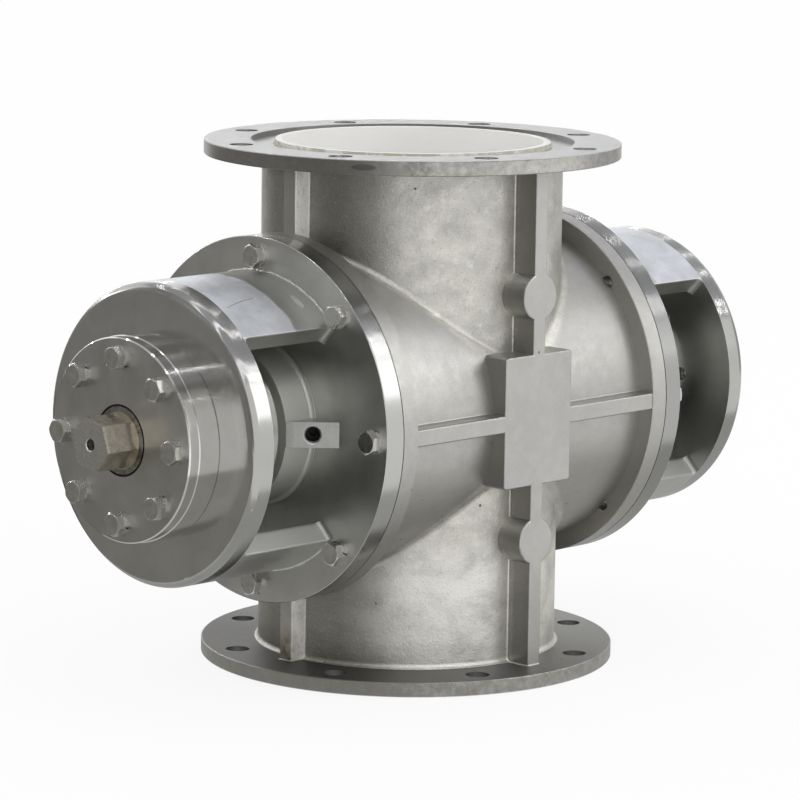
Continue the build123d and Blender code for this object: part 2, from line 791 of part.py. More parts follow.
    with BuildPart() as gland:
        with BuildSketch(outward(side, gland_face)):
            Circle(box_radius)
        extrude(amount=gland_flange_thickness)
        chamfer(gland.edges().filter_by(GeomType.CIRCLE), length=edge_break)
        with BuildSketch(outward(side, gland_nose_end)):
            Circle(box_bore_radius - fit_gap)
        extrude(amount=gland_face - gland_nose_end)
        with BuildSketch(outward(side, gland_nose_end)):
            Circle(shaft_radius + shaft_clearance)
        extrude(amount=gland_back - gland_nose_end, mode=Mode.SUBTRACT)
        with BuildSketch(outward(side, gland_face)):
            with Locations((0, gland_stud_circle), (0, -gland_stud_circle)):
                Circle(gland_stud_radius + tapped_gap * 3)
        extrude(amount=gland_flange_thickness, mode=Mode.SUBTRACT)
    gland.part.label = f"{end}_gland_follower"
    export_step(gland.part, f"parts/{end}_gland_follower.step")

    stud_top = gland_back + gland_nut_height + gland_thread_stand
    with BuildPart() as studs:
        with BuildSketch(outward(side, box_face - gland_stud_depth + 1)):
            with Locations((0, gland_stud_circle), (0, -gland_stud_circle)):
                Circle(gland_stud_radius)
        extrude(amount=stud_top - box_face + gland_stud_depth - 1)
    studs.part.label = f"{end}_gland_studs"
    export_step(studs.part, f"parts/{end}_gland_studs.step")

    with BuildPart() as gland_nuts:
        with BuildSketch(outward(side, gland_back)):
            with Locations((0, gland_stud_circle), (0, -gland_stud_circle)):
                RegularPolygon(gland_nut_width / 2, 6, major_radius=False)
                Circle(gland_stud_radius + fit_gap, mode=Mode.SUBTRACT)
        extrude(amount=gland_nut_height)
    gland_nuts.part.label = f"{end}_gland_nuts"
    export_step(gland_nuts.part, f"parts/{end}_gland_nuts.step")

# Lip seal in the open bearing cover
cover_seal = ring(
    DRIVE, cover_seal_start, cover_seal_end, seal_journal_radius + seal_touch, cover_seal_radius
)
cover_seal.part.label = "drive_shaft_seal"
export_step(cover_seal.part, "parts/drive_shaft_seal.step")

# Shaft: hub seat in the middle, stepped down to both bearings, with the drive hexagon at one end
with BuildPart() as shaft:
    with BuildSketch(outward(TAIL, 0)):
        Circle(hub_seat_radius)
    extrude(amount=rotor_half_length, both=True)
    for side in ends.values():
        steps = (
            (rotor_half_length, bearing_start, shaft_radius),
            (bearing_start, journal_end, journal_radius),
        )
        for start, stop, radius in steps:
            with BuildSketch(outward(side, start)):
                Circle(radius)
            extrude(amount=stop - start)
        with BuildSketch(outward(side, circlip_start - fit_gap)):
            Circle(journal_radius + 1)
            Circle(journal_radius - circlip_groove_depth, mode=Mode.SUBTRACT)
        extrude(amount=circlip_thickness + 2 * fit_gap, mode=Mode.SUBTRACT)
    with BuildSketch(outward(DRIVE, journal_end)):
        Circle(seal_journal_radius)
    extrude(amount=hex_start - journal_end)
    nose = shaft.edges().filter_by(GeomType.CIRCLE).filter_by(at_distance(DRIVE, hex_start))
    chamfer(nose, length=shaft_chamfer / 3)
    with BuildSketch(outward(DRIVE, hex_start)):
        RegularPolygon(hex_across_flats / 2, 6, major_radius=False, rotation=hex_turn)
    extrude(amount=hex_length)
    tail = shaft.edges().filter_by(GeomType.CIRCLE).filter_by(at_distance(TAIL, journal_end))
    chamfer(tail, length=shaft_chamfer)
    with Locations(outward(DRIVE, hex_end)):
        CounterSinkHole(
            shaft_tap_radius, shaft_tap_radius * 1.2, depth=shaft_tap_depth, counter_sink_angle=90
        )
    with BuildSketch(Plane.XY.offset(axis_height + hub_seat_radius - key_height * 0.6)):
        SlotOverall(key_length + 2 * key_gap, key_width + 2 * key_gap)
    extrude(amount=key_height, mode=Mode.SUBTRACT)
shaft.part.label = "rotor_shaft"
export_step(shaft.part, "parts/rotor_shaft.step")

with BuildPart() as key:
    with BuildSketch(Plane.XY.offset(axis_height + hub_seat_radius - key_height * 0.6)):
        SlotOverall(key_length, key_width)
    extrude(amount=key_height)
key.part.label = "rotor_key"
export_step(key.part, "parts/rotor_key.step")

# Hub with a slot for each vane and a keyway
with BuildPart() as hub:
    with BuildSketch(outward(TAIL, 0)):
        Circle(hub_radius)
        Circle(hub_bore_radius, mode=Mode.SUBTRACT)
        with PolarLocations(hub_radius, vane_count, start_angle=vane_phase):
            Rectangle(2 * vane_root, vane_thickness, mode=Mode.SUBTRACT)
        with Locations((0, hub_seat_radius)):
            Rectangle(key_width + 2 * key_gap, 2 * (key_height * 0.4 + key_gap), mode=Mode.SUBTRACT)
    extrude(amount=rotor_half_length, both=True)
hub.part.label = "rotor_hub"
export_step(hub.part, "parts/rotor_hub.step")


def vane_place(index):
    """The frame of one vane: X outward along the vane, Y across it, Z along the rotor."""
    return Location(outward(TAIL, 0)) * Location((0, 0, 0), (0, 0, vane_phase + 360.0 * index / vane_count))


screw_spacing = 2 * rotor_half_length / tip_screws_per_vane
screw_line = tip_inner_radius + (vane_outer_radius - tip_inner_radius) / 2
screw_places = [
    (screw_line, 0, (index - (tip_screws_per_vane - 1) / 2) * screw_spacing)
    for index in range(tip_screws_per_vane)
]

# One vane, tip and screw in the vane's own frame, and then all of them round the hub
with BuildPart() as vane:
    with Locations(((hub_radius - vane_root + vane_outer_radius) / 2, 0, 0)):
        Box(vane_outer_radius - hub_radius + vane_root, vane_thickness, 2 * rotor_half_length)
    for place in screw_places:
        with Locations(Location(place, (90, 0, 0))):
            Cylinder(tip_screw_radius + tapped_gap, vane_thickness + 1, mode=Mode.SUBTRACT)
with BuildPart() as tip:
    with BuildSketch(Plane.XY.offset(-rotor_half_length)):
        with Locations(((tip_inner_radius + rotor_radius) / 2, vane_thickness / 2 + tip_thickness / 2)):
            Rectangle(tip_height + 2, tip_thickness)
        Circle(rotor_radius, mode=Mode.INTERSECT)
    extrude(amount=2 * rotor_half_length)
    for place in screw_places:
        with Locations(Location(place, (90, 0, 0))):
            Cylinder(tip_screw_radius + tapped_gap, 4 * vane_thickness, mode=Mode.SUBTRACT)
tip_screw = hexagon_bolt(
    tip_screw_radius, tip_thickness + vane_thickness, tip_screw_head_width, tip_screw_head_height
)
screw_seat = vane_thickness / 2 + tip_thickness
with BuildPart() as vanes:
    with Locations([vane_place(index) for index in range(vane_count)]):
        add(vane.part)
vanes.part.label = "rotor_vanes"
export_step(vanes.part, "parts/rotor_vanes.step")

with BuildPart() as tips:
    with Locations([vane_place(index) for index in range(vane_count)]):
        add(tip.part)
tips.part.label = "vane_tips"
export_step(tips.part, "parts/vane_tips.step")

with BuildPart() as tip_screws:
    with Locations(
        [
            vane_place(index) * Location((place[0], screw_seat, place[2]), (-90, 0, 0))
            for index in range(vane_count)
            for place in screw_places
        ]
    ):
        add(tip_screw.part)
tip_screws.part.label = "tip_screws"
export_step(tip_screws.part, "parts/tip_screws.step")
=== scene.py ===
import json
import math

import bmesh
import bpy
from mathutils import Matrix, Vector, noise


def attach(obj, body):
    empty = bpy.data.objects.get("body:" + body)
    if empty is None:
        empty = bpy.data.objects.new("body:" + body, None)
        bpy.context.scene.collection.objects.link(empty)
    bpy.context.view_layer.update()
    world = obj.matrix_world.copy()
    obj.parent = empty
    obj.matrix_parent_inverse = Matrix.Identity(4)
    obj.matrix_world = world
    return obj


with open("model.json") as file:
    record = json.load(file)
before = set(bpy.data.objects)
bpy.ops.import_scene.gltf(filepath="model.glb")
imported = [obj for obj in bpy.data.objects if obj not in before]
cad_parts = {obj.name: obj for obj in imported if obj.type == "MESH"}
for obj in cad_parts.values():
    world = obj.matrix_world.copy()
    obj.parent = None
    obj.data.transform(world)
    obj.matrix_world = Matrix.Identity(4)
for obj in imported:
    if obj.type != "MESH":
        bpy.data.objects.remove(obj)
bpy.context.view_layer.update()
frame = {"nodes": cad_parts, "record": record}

# Sizes of the part that the materials and the added pieces follow, in metres. AXIS_Z is the height of
# the rotor's axis, and sizes along it count from the pipe's axis
AXIS_Z = 0.2
PIPE_RADIUS = 0.1155
LINING_RADIUS = 0.1055
FLANGE_RADIUS = 0.160
FLANGE_HEIGHT = 0.011
BOLT_CIRCLE = 0.140
HOLE_REACH = 0.0097
RECESS_DEPTH = 0.004
RIB_HALF = 0.0065
SIDE_RIB_FACE = 0.130
END_FLANGE_BACK = 0.129
COVER_FACE = 0.161
COVER_RIM = 0.1375
BOX_RADIUS = 0.0605
ROOT_FILLET = 0.0035
WINDOW_RADIUS = 0.0975
YOKE_RADIUS = 0.1125
ARM_FOOT_END = 0.200
DISC_BACK = 0.2495
HOUSING_FACE = 0.2875
HOUSING_RADIUS = 0.076
BEARING_COVER_FACE = 0.2965
SHAFT_END = 0.3253
HEXAGON_FOOT = 0.2968
SHOULDER_RADIUS = 0.0214
PORT_MOUTH = (0.17475, 0.07425)
PORT_RADIUS = 0.0059
BOSS_SIDE = -0.05
BOSS_REACH = 0.098

# Camera, fitted to the photograph
AZIMUTH = math.radians(45.163)
ELEVATION = math.radians(9.463)
ROLL = math.radians(0.785)
DISTANCE = 3.13535
SHIFT_RIGHT = -0.0071
SHIFT_UP = -0.00237
FOCAL_PIXELS = 4049.28
IMAGE_SIZE = 800
SENSOR = 36.0


def make_camera():
    back = Vector((
        -math.cos(ELEVATION) * math.sin(AZIMUTH),
        -math.cos(ELEVATION) * math.cos(AZIMUTH),
        math.sin(ELEVATION),
    ))
    right = Vector((math.cos(AZIMUTH), -math.sin(AZIMUTH), 0))
    up = back.cross(right)
    rolled_right = right * math.cos(ROLL) + up * math.sin(ROLL)
    rolled_up = up * math.cos(ROLL) - right * math.sin(ROLL)
    place = back * DISTANCE + rolled_right * SHIFT_RIGHT + rolled_up * SHIFT_UP + Vector((0, 0, AXIS_Z))
    data = bpy.data.cameras.new("camera")
    data.sensor_width = SENSOR
    data.lens = FOCAL_PIXELS * SENSOR / IMAGE_SIZE
    data.clip_start = 0.05
    data.clip_end = 50
    camera = bpy.data.objects.new("camera", data)
    turn = Matrix((rolled_right, rolled_up, back)).transposed().to_4x4()
    camera.matrix_world = Matrix.Translation(place) @ turn
    bpy.context.collection.objects.link(camera)
    bpy.context.scene.camera = camera


make_camera()


# Materials
def rgba(color):
    """A written colour with full alpha, and a socket as it is."""
    return (*color, 1.0) if isinstance(color, tuple) else color


class Paint:
    """One material under construction, with short calls for the nodes that it is made of."""

    def __init__(self, name):
        self.material = bpy.data.materials.new(name)
        self.material.use_nodes = True
        self.tree = self.material.node_tree
        self.tree.nodes.clear()
        self.output = self.tree.nodes.new("ShaderNodeOutputMaterial")
        self.shader = self.tree.nodes.new("ShaderNodeBsdfPrincipled")
        self.tree.links.new(self.shader.outputs["BSDF"], self.output.inputs["Surface"])
        places = self.tree.nodes.new("ShaderNodeTexCoord")
        self.coords = places.outputs["Object"]
        self.facing = places.outputs["Normal"]

    def put(self, socket, value):
        if isinstance(value, bpy.types.NodeSocket):
            self.tree.links.new(value, socket)
        else:
            socket.default_value = value

    def math(self, operation, first, second=0.0, third=0.0):
        node = self.tree.nodes.new("ShaderNodeMath")
        node.operation = operation
        self.put(node.inputs[0], first)
        self.put(node.inputs[1], second)
        if operation == "MULTIPLY_ADD":
            self.put(node.inputs[2], third)
        return node.outputs[0]

    def split(self, vector):
        node = self.tree.nodes.new("ShaderNodeSeparateXYZ")
        self.put(node.inputs[0], vector)
        return node.outputs

    def join(self, x, y, z):
        node = self.tree.nodes.new("ShaderNodeCombineXYZ")
        for socket, value in zip(node.inputs, (x, y, z)):
            self.put(socket, value)
        return node.outputs[0]

    def scaled(self, vector, scale):
        node = self.tree.nodes.new("ShaderNodeVectorMath")
        node.operation = "MULTIPLY"
        self.put(node.inputs[0], vector)
        node.inputs[1].default_value = scale
        return node.outputs[0]

    def near(self, vector, point, stretch, far, close):
        """1 close to a point and 0 far from it, with distances stretched along the axes."""
        node = self.tree.nodes.new("ShaderNodeVectorMath")
        node.operation = "DISTANCE"
        self.put(node.inputs[0], self.scaled(vector, stretch))
        node.inputs[1].default_value = tuple(part * scale for part, scale in zip(point, stretch))
        return self.ramp(node.outputs["Value"], far, close)

    def noise(self, size, detail, roughness, distortion=0.0, vector=None):
        node = self.tree.nodes.new("ShaderNodeTexNoise")
        self.put(node.inputs["Vector"], self.coords if vector is None else vector)
        node.inputs["Scale"].default_value = 1 / size
        node.inputs["Detail"].default_value = detail
        node.inputs["Roughness"].default_value = roughness
        node.inputs["Distortion"].default_value = distortion
        return node.outputs["Fac"]

    def cells(self, size):
        node = self.tree.nodes.new("ShaderNodeTexVoronoi")
        self.put(node.inputs["Vector"], self.coords)
        node.inputs["Scale"].default_value = 1 / size
        return node

    def ramp(self, value, low, high, start=0.0, stop=1.0):
        """From start at low to stop at high, and level beyond them."""
        node = self.tree.nodes.new("ShaderNodeMapRange")
        self.put(node.inputs["Value"], value)
        node.inputs["From Min"].default_value = low
        node.inputs["From Max"].default_value = high
        node.inputs["To Min"].default_value = start
        node.inputs["To Max"].default_value = stop
        return node.outputs["Result"]

    def mix(self, share, first, second):
        """A colour between two."""
        node = self.tree.nodes.new("ShaderNodeMix")
        node.data_type = "RGBA"
        self.put(node.inputs["Factor"], share)
        for socket, value in ((node.inputs[6], first), (node.inputs[7], second)):
            self.put(socket, rgba(value))
        return node.outputs[2]

    def blend(self, share, first, second):
        """A number between two."""
        node = self.tree.nodes.new("ShaderNodeMix")
        node.data_type = "FLOAT"
        self.put(node.inputs["Factor"], share)
        self.put(node.inputs[2], first)
        self.put(node.inputs[3], second)
        return node.outputs[0]

    def bump(self, height, depth, below=None):
        node = self.tree.nodes.new("ShaderNodeBump")
        node.inputs["Strength"].default_value = 1.0
        self.put(node.inputs["Distance"], depth)
        self.put(node.inputs["Height"], height)
        if below is not None:
            self.put(node.inputs["Normal"], below)
        return node.outputs["Normal"]

    def inverse(self, share):
        return self.math("SUBTRACT", 1.0, share)

    def steepness(self, axis):
        """1 where the surface faces along an axis, either way, and 0 where it lies beside it."""
        return self.math("ABSOLUTE", self.split(self.facing)[axis])

    def product(self, *factors):
        result = factors[0]
        for factor in factors[1:]:
            result = self.math("MULTIPLY", result, factor)
        return result

    def band(self, value, low, high, soft=0.0003):
        """1 between two values, with soft ends."""
        return self.product(
            self.ramp(value, low - soft, low + soft), self.ramp(value, high + soft, high - soft)
        )

    def around_rotor(self):
        """Distance from the rotor's axis."""
        _, y, z = self.split(self.coords)
        height = self.math("SUBTRACT", z, AXIS_Z)
        square = self.math("MULTIPLY_ADD", y, y, self.math("MULTIPLY", height, height))
        return self.math("SQRT", square)

    def around_pipe(self):
        """Distance from the pipe's axis."""
        x, y, _ = self.split(self.coords)
        return self.math("SQRT", self.math("MULTIPLY_ADD", x, x, self.math("MULTIPLY", y, y)))

    def finish(self, color, roughness, metallic, normal):
        self.put(self.shader.inputs["Base Color"], rgba(color))
        self.put(self.shader.inputs["Roughness"], roughness)
        self.put(self.shader.inputs["Metallic"], metallic)
        self.put(self.shader.inputs["Normal"], normal)
        return self.material


# Marks of the photograph, placed on the surfaces that carry them. Those on the arm are unrolled: along
# the rotor's axis, and along the arm's curve
DULL_PATCH = (-0.1359, -0.0845, 0.3948)
SCALY_PATCH = (-0.1111, -0.1151, 0.3945)
RUST_STAIN = (-0.130, -0.002, 0.016667)
# The bright mark on the arm is a painted highlight, where a lamp's reflection falls
ARM_GLINT = (-0.1752, math.radians(120.5) * YOKE_RADIUS, 0.0)
SCRATCH_SLOPE = 0.22
SCRATCH_PLACE = math.radians(117.3) * YOKE_RADIUS - SCRATCH_SLOPE * 0.229
SCRATCH_ENDS = (-0.243, -0.211)

EDGE_HIGHLIGHT_STEEL = (0.86, 0.86, 0.85)
RING_SIZE = 0.00035
COVER_RING_SIZE = 0.0004
MARK_DEPTH = 0.000004


def pipe_leg_color(p, y, z, patches, crust):
    """Coarser and warmer than the barrel, with painted light that makes it paler low on the front."""
    blots = p.noise(0.030, 6.0, 0.62, 0.15, vector=p.scaled(p.coords, (1.0, 1.0, 1.3)))
    streaks = p.noise(0.020, 5.0, 0.65, 0.1, vector=p.scaled(p.coords, (0.5, 0.5, 2.4)))
    color = p.mix(p.ramp(blots, 0.36, 0.64), (0.50, 0.49, 0.455), (0.70, 0.685, 0.635))
    color = p.mix(p.ramp(streaks, 0.46, 0.64, 0.0, 0.45), color, (0.58, 0.57, 0.53))
    color = p.mix(p.ramp(patches, 0.56, 0.70, 0.0, 0.4), color, (0.86, 0.84, 0.77))
    color = p.mix(p.ramp(crust, 0.42, 0.28, 0.0, 0.5), color, (0.36, 0.35, 0.315))
    # Painted light: paler low on the front, standing in for light from the floor
    painted_floor_light = p.product(
        p.ramp(y, -0.035, -0.085), p.ramp(z, 0.115, 0.08), p.ramp(blots, 0.34, 0.58, 0.35, 0.85)
    )
    return p.mix(painted_floor_light, color, (0.90, 0.885, 0.835))


def flange_rim_color(p, x):
    """Painted shade, darker towards the drive side, and mottled away from it."""
    blots = p.noise(0.006, 5.0, 0.7, 0.1)
    mottled = p.ramp(x, -0.125, -0.095, 0.10, 0.42)
    # Painted shade: the rim is darker on the drive side, which faces away from the light
    color = p.mix(p.ramp(x, -0.13, -0.03), (0.32, 0.315, 0.295), (0.47, 0.462, 0.435))
    color = p.mix(p.product(p.ramp(blots, 0.50, 0.62), mottled), color, (0.66, 0.648, 0.61))
    return p.mix(p.product(p.ramp(blots, 0.46, 0.34), mottled), color, (0.20, 0.19, 0.17))


def ground_and_lit_share(p, outward, y, from_middle, patches, crust):
    """1 on the clear flanks of the side ribs, ground to a rougher, less metallic finish and painted bright
    as lit.
    """
    flank = p.product(
        p.band(p.math("ABSOLUTE", y), RIB_HALF - 0.0008, RIB_HALF + 0.0012, 0.0001),
        p.band(outward, PIPE_RADIUS - 0.003, SIDE_RIB_FACE - 0.0004, 0.0001),
        p.ramp(p.steepness(1), 0.7, 0.9),
        p.ramp(from_middle, AXIS_Z - FLANGE_HEIGHT, AXIS_Z - FLANGE_HEIGHT - 0.001),
    )
    return p.product(flank, p.ramp(patches, 0.36, 0.50, 0.6, 1.0), p.ramp(crust, 0.32, 0.46, 0.6, 1.0))


def pit_share(p):
    """1 in a round pit, which only some of the cells have."""
    pits = p.cells(0.016)
    return p.product(
        p.ramp(pits.outputs["Distance"], 0.07, 0.035),
        p.ramp(p.split(pits.outputs["Color"])[0], 0.72, 0.76),
    )


def rim_patch_share(p, crust):
    """1 in the dull patch and in the scaly one on the inlet flange's rim."""
    dull = p.near(p.coords, DULL_PATCH, (1.0, 1.0, 4.2), 0.0100, 0.0088)
    scaly = p.near(p.coords, SCALY_PATCH, (1.0, 1.0, 1.4), 0.0125, 0.0085)
    return p.math("MAXIMUM", dull, p.product(scaly, p.ramp(crust, 0.60, 0.48, 0.0, 0.6)))


def cast_steel():
    """Blasted stainless casting: blotchy pipe, smoother barrel, turned flange faces and pitted rims."""
    p = Paint("cast_steel")
    x, y, z = p.split(p.coords)
    outward = p.math("ABSOLUTE", x)
    around = p.around_pipe()
    from_middle = p.math("ABSOLUTE", p.math("SUBTRACT", z, AXIS_Z))
    clouds = p.noise(0.070, 4.0, 0.6, 0.6)
    patches = p.noise(0.010, 5.0, 0.68, 0.1)
    crust = p.noise(0.0028, 4.0, 0.65)
    grain = p.noise(0.0016, 3.0, 0.6)
    speckle = p.noise(0.0010, 2.0, 0.5)
    worn = p.ramp(patches, 0.42, 0.66)
    # Barrel and ribs, and over them the pipe's legs
    color = p.mix(p.ramp(clouds, 0.35, 0.65), (0.455, 0.45, 0.43), (0.50, 0.493, 0.47))
    color = p.mix(p.product(worn, 0.22), color, (0.58, 0.572, 0.54))
    pipe = p.ramp(around, PIPE_RADIUS + 0.006, PIPE_RADIUS + 0.004)
    color = p.mix(pipe, color, pipe_leg_color(p, y, z, patches, crust))
    # Flanks that face along the rotor's axis are darkened with painted shade, the end flanges' backs less so
    flank = p.ramp(p.steepness(0), 0.75, 0.95)
    end_flange = p.ramp(outward, END_FLANGE_BACK - 0.003, END_FLANGE_BACK - 0.001)
    flank_shade_color = p.mix(end_flange, (0.27, 0.262, 0.24), (0.46, 0.45, 0.42))
    color = p.mix(p.product(flank, 0.75), color, flank_shade_color)
    # Pipe flanges: turned faces, painted shade on the lower one's upper face under the barrel, the upper
    # one's holes, the rims
    flange = p.math("GREATER_THAN", from_middle, AXIS_Z - FLANGE_HEIGHT - 0.0002)
    face_color = p.mix(p.ramp(clouds, 0.35, 0.65), (0.33, 0.33, 0.325), (0.38, 0.38, 0.375))
    # Painted shade under the barrel on the lower flange's upper face, darkest on the drive side
    under_barrel_shade = p.product(p.ramp(p.split(p.facing)[2], 0.9, 0.97), p.ramp(z, 0.02, 0.018))
    under_barrel_shade_color = p.mix(p.ramp(x, -0.08, 0.10), (0.12, 0.117, 0.108), (0.36, 0.355, 0.335))
    face_color = p.mix(p.product(under_barrel_shade, 0.9), face_color, under_barrel_shade_color)
    drilled = p.product(
        p.band(around, BOLT_CIRCLE - HOLE_REACH, BOLT_CIRCLE + HOLE_REACH, 0.0001),
        p.ramp(p.steepness(2), 0.5, 0.3),
        p.ramp(z, AXIS_Z, AXIS_Z + 0.001),
    )
    face_color = p.mix(drilled, face_color, (0.80, 0.80, 0.79))
    color = p.mix(flange, color, face_color)
    rim = p.product(flange, p.ramp(around, FLANGE_RADIUS - 0.0013, FLANGE_RADIUS - 0.0009))
    color = p.mix(rim, color, flange_rim_color(p, x))
    ground = ground_and_lit_share(p, outward, y, from_middle, patches, crust)
    # Painted highlight: the clear rib flanks are made near white, on their rougher, less metallic ground
    # finish
    color = p.mix(ground, color, (0.88, 0.87, 0.83))
    # Bright and dark specks, pits, and the marks of the photograph
    specks = p.blend(pipe, 0.2, 0.6)
    color = p.mix(p.product(p.ramp(speckle, 0.62, 0.74), specks), color, (0.88, 0.865, 0.82))
    color = p.mix(p.product(p.ramp(speckle, 0.36, 0.27), specks), color, (0.17, 0.16, 0.14))
    pits = pit_share(p)
    color = p.mix(p.product(pits, 0.8), color, (0.10, 0.09, 0.075))
    color = p.mix(p.product(rim_patch_share(p, crust), 0.7), color, (0.15, 0.145, 0.13))
    stain = p.near(p.coords, RUST_STAIN, (1.0, 1.0, 0.45), 0.011, 0.003)
    stain = p.product(stain, p.ramp(patches, 0.38, 0.55))
    color = p.mix(p.product(stain, 0.75), color, (0.20, 0.12, 0.06))
    roughness = p.blend(worn, 0.44, 0.36)
    roughness = p.math("ADD", roughness, p.ramp(grain, 0.3, 0.7, -0.05, 0.06))
    roughness = p.math("ADD", roughness, p.product(pipe, 0.06))
    roughness = p.blend(flange, roughness, 0.33)
    roughness = p.blend(p.product(flange, drilled), roughness, 0.15)
    roughness = p.blend(p.math("MAXIMUM", under_barrel_shade, ground), roughness, 0.5)
    coarse = p.product(pipe, p.inverse(flange))
    normal = p.bump(patches, p.blend(coarse, 0.00010, 0.0004))
    normal = p.bump(crust, p.blend(coarse, 0.00004, 0.00014), normal)
    normal = p.bump(grain, 0.00016, normal)
    normal = p.bump(p.product(pits, -1.0), 0.0006, normal)
    return p.finish(color, roughness, p.blend(ground, 1.0, 0.2), normal)


def turned_steel(name, dull, bright, rim_roughness, face_roughness):
    """Steel turned about the rotor's axis: polished rims, duller faces, fine rings and faint smears."""
    p = Paint(name)
    x = p.split(p.coords)[0]
    outward = p.math("ABSOLUTE", x)
    radius = p.around_rotor()
    rings = p.noise(RING_SIZE, 2.0, 0.6, vector=p.join(radius, x, 0.0))
    smears = p.noise(0.022, 4.0, 0.6, 0.4)
    marks = p.noise(0.004, 4.0, 0.7, 0.5)
    face = p.ramp(p.steepness(0), 0.8, 0.95)
    color = p.mix(p.ramp(smears, 0.35, 0.68), dull, bright)
    color = p.mix(p.ramp(marks, 0.63, 0.75, 0.0, 0.3), color, tuple(0.6 * part for part in dull))
    color = p.mix(p.product(p.inverse(face), 0.38), color, (0.84, 0.835, 0.82))
    # Painted highlights on the edges of the bearing housing and of its cover
    edge = p.math(
        "MAXIMUM",
        p.band(outward, HOUSING_FACE - 0.0004, HOUSING_FACE + 0.0005, 0.0002),
        p.band(outward, BEARING_COVER_FACE - 0.0011, BEARING_COVER_FACE, 0.0002),
    )
    edge = p.product(edge, p.ramp(radius, HOUSING_RADIUS - 0.0017, HOUSING_RADIUS - 0.0012))
    color = p.mix(p.product(edge, 0.8), color, EDGE_HIGHLIGHT_STEEL)
    rough = p.blend(face, rim_roughness, face_roughness)
    rough = p.math("ADD", rough, p.ramp(smears, 0.3, 0.7, -0.02, 0.05))
    normal = p.bump(rings, 0.000010)
    normal = p.bump(marks, MARK_DEPTH, normal)
    return p.finish(color, rough, 1.0, normal)


def arm_marks(p, x, y, z):
    """Shares of the painted highlight on a smoother patch and of the hairline scratch on the drive end's
    upper arm.
    """
    angle = p.math("ARCTAN2", p.math("SUBTRACT", z, AXIS_Z), y)
    curve = p.product(angle, YOKE_RADIUS)
    glint = p.near(p.join(x, curve, 0.0), ARM_GLINT, (2.6, 1.0, 1.0), 0.0085, 0.0070)
    line = p.math("MULTIPLY_ADD", x, SCRATCH_SLOPE, curve)
    line = p.math("ADD", line, p.ramp(p.noise(0.012, 2.0, 0.5), 0.3, 0.7, -0.0008, 0.0008))
    off_line = p.math("ABSOLUTE", p.math("SUBTRACT", line, SCRATCH_PLACE))
    scratch = p.product(p.ramp(off_line, 0.00045, 0.0002), p.band(x, *SCRATCH_ENDS, 0.001))
    return glint, scratch


def port_shares(p, outward, height, by_port):
    """Shares of the very dark wall and of the bright chamfer of the slanted purge ports."""
    y = p.split(p.coords)[1]
    away = p.math("ABSOLUTE", p.math("ADD", outward, y))
    away = p.product(p.math("SUBTRACT", away, PORT_MOUTH[0] - PORT_MOUTH[1]), math.sqrt(0.5))
    off_axis = p.math("SQRT", p.math("MULTIPLY_ADD", away, away, p.product(height, height)))
    by_plate = p.product(by_port, p.ramp(outward, 0.19, 0.185))
    dark_wall = p.product(p.ramp(off_axis, PORT_RADIUS + 0.0002, PORT_RADIUS - 0.0001), by_plate)
    chamfer = p.product(p.band(off_axis, PORT_RADIUS + 0.0003, PORT_RADIUS + 0.0011, 0.0002), by_plate)
    return dark_wall, chamfer


